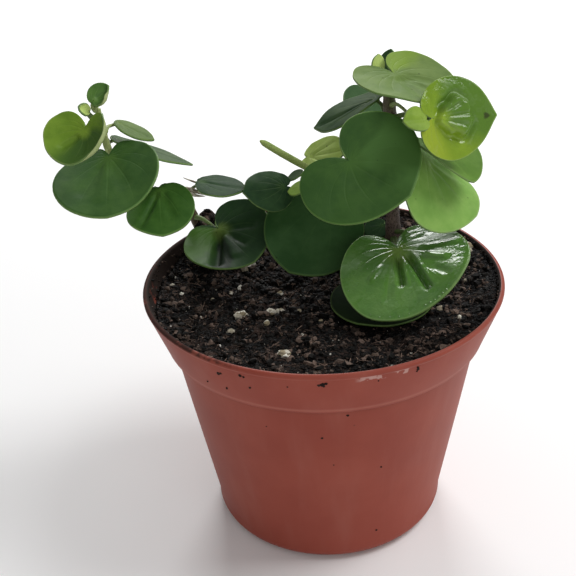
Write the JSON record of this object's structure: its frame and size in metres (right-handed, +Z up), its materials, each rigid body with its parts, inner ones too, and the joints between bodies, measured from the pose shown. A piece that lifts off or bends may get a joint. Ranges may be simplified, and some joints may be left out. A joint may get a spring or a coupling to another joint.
{
  "type": "potted house plant",
  "caption": "House plant with round, heart-shaped leaves on thin stalks, growing in soil in a round tapered plastic nursery pot with a wide rim band.",
  "frame": {"origin": "middle of the pot's flat underside", "axes": "+Z up along the pot's axis, -Y towards the side that the large front leaf faces, +X towards the upright stem's side"},
  "size_m": [0.1434, 0.12, 0.1577],
  "materials": {
    "pot": "satin, dusty",
    "soil": "rough, crumbly",
    "stem": "smooth, speckled",
    "spike": "finely grained",
    "leaf": "smooth, semi-gloss",
    "young_leaf": "smooth, glossy"
  },
  "bodies": {
    "root": {"pot": "pot", "soil": "soil", "stem_right": "stem", "stem_centre": "stem", "stem_left": "stem", "flower_spike": "spike", "leaf_front_large": "leaf", "leaf_low_right": "leaf", "leaf_centre_low": "leaf", "leaf_left_cupped": "leaf", "leaf_centre_left": "leaf", "leaf_left_node": "leaf", "leaf_left_third": "leaf", "leaf_left_large": "leaf", "leaf_left_yellow": "young_leaf", "leaf_left_top": "leaf", "leaf_left_bud": "young_leaf", "leaf_left_narrow_upper": "leaf", "leaf_left_narrow_lower": "leaf", "leaf_top": "leaf", "leaf_right_ribbed": "young_leaf", "leaf_right_young": "young_leaf", "leaf_right_hanging": "leaf", "leaf_right_rear": "leaf", "leaf_rear_upper": "leaf", "leaf_rear_narrow": "leaf", "leaf_centre_rolled": "young_leaf", "leaf_centre_small_dark": "leaf", "leaf_centre_small_young": "young_leaf", "leaf_top_sheath": "young_leaf", "leaf_top_rear": "leaf", "leaf_rear_low": "leaf", "leaf_on_soil": "leaf"}
  },
  "joints": []
}
